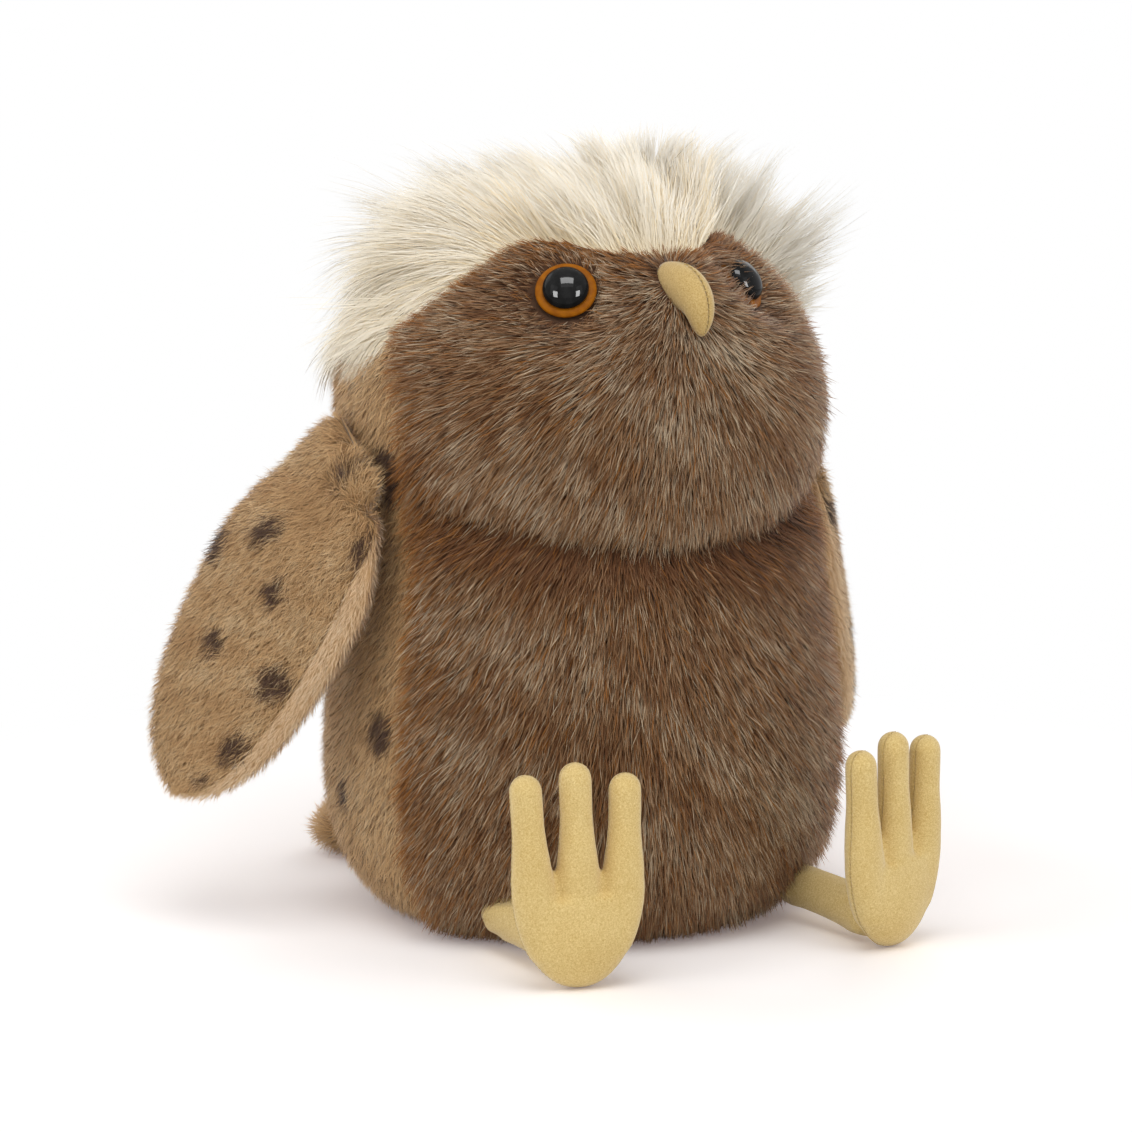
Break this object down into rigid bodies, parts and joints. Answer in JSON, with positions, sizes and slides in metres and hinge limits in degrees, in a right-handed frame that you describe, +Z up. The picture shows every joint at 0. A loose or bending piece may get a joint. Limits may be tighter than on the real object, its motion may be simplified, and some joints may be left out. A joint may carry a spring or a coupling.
{
  "type": "plush owl",
  "caption": "Seated stuffed owl soft toy with a shaggy crest, glossy dome eyes, hooked beak, hanging wings, upright three-toed feet and a short tail, weighted in its seat",
  "frame": {"origin": "centre of the flat base, on the surface that the toy stands on", "axes": "+Z up, the owl faces -Y, its left wing is on +X"},
  "size_m": [0.2363, 0.2135, 0.22],
  "materials": {
    "brown_pile": "long plush pile, brown at the root with grey brown tips",
    "tan_pile": "short plush pile, tan with dark brown spots",
    "pale_pile": "short plush pile, light tan",
    "ivory_pile": "long shaggy plush, ivory",
    "suede": "sueded fabric, ochre, fine short nap",
    "black_gloss": "polished black",
    "amber": "satin amber",
    "fibre": "loose polyester fibre filling, white",
    "pellets": "thin fabric bag of plastic pellets",
    "nylon": "natural moulded nylon"
  },
  "bodies": {
    "body": {"chest_panel": "brown_pile", "face_panel": "brown_pile", "side_panel_left": "tan_pile", "side_panel_right": "tan_pile", "crest_panel": "ivory_pile", "base_panel": "tan_pile", "torso_stuffing": "fibre", "head_stuffing": "fibre", "pellet_bag": "pellets", "eye_left": "black_gloss", "iris_ring_left": "amber", "eye_washer_left": "nylon", "eye_right": "black_gloss", "iris_ring_right": "amber", "eye_washer_right": "nylon", "beak_panel_left": "suede", "beak_panel_right": "suede", "beak_stuffing": "fibre"},
    "wing_left": {"wing_outer_panel_left": "tan_pile", "wing_inner_panel_left": "pale_pile", "wing_stuffing_left": "fibre"},
    "wing_right": {"wing_outer_panel_right": "tan_pile", "wing_inner_panel_right": "pale_pile", "wing_stuffing_right": "fibre"},
    "leg_left": {"leg_tube_left": "suede", "leg_stuffing_left": "fibre"},
    "leg_right": {"leg_tube_right": "suede", "leg_stuffing_right": "fibre"},
    "foot_left": {"foot_back_left": "suede", "foot_sole_left": "suede", "foot_stuffing_left": "fibre"},
    "foot_right": {"foot_back_right": "suede", "foot_sole_right": "suede", "foot_stuffing_right": "fibre"},
    "tail": {"tail_upper_panel": "tan_pile", "tail_lower_panel": "tan_pile", "tail_stuffing": "fibre"}
  },
  "joints": [
    {"name": "wing_left_hinge", "type": "hinge", "parent": "body", "child": "wing_left", "pos_m": [0.07497, 0.00262, 0.1355], "axis": [0.028, -0.7875, -0.6156], "range_deg": [-5, 105], "stiffness_Nm_per_rad": 0.08},
    {"name": "wing_right_hinge", "type": "hinge", "parent": "body", "child": "wing_right", "pos_m": [-0.07497, 0.00262, 0.1355], "axis": [0.028, 0.7875, 0.6156], "range_deg": [-10, 100], "stiffness_Nm_per_rad": 0.08},
    {"name": "leg_left_hinge", "type": "hinge", "parent": "body", "child": "leg_left", "pos_m": [0.04186, -0.04989, 0.0105], "axis": [-1, 0, 0], "range_deg": [-60, 12], "stiffness_Nm_per_rad": 0.06},
    {"name": "foot_left_hinge", "type": "hinge", "parent": "leg_left", "child": "foot_left", "pos_m": [0.0447, -0.08591, 0.00824], "axis": [-0.9703, -0.2419, 0], "range_deg": [-22, 18], "stiffness_Nm_per_rad": 0.05},
    {"name": "leg_right_hinge", "type": "hinge", "parent": "body", "child": "leg_right", "pos_m": [-0.04989, -0.04186, 0.0105], "axis": [-1, 0, 0], "range_deg": [-60, 12], "stiffness_Nm_per_rad": 0.06},
    {"name": "foot_right_hinge", "type": "hinge", "parent": "leg_right", "child": "foot_right", "pos_m": [-0.0497, -0.07799, 0.00824], "axis": [-0.9703, 0.2419, 0], "range_deg": [-22, 18], "stiffness_Nm_per_rad": 0.05},
    {"name": "tail_hinge", "type": "hinge", "parent": "body", "child": "tail", "pos_m": [-0.00597, 0.06825, 0.0083], "axis": [0.9962, 0.087, 0], "range_deg": [-15, 25], "stiffness_Nm_per_rad": 0.06}
  ]
}
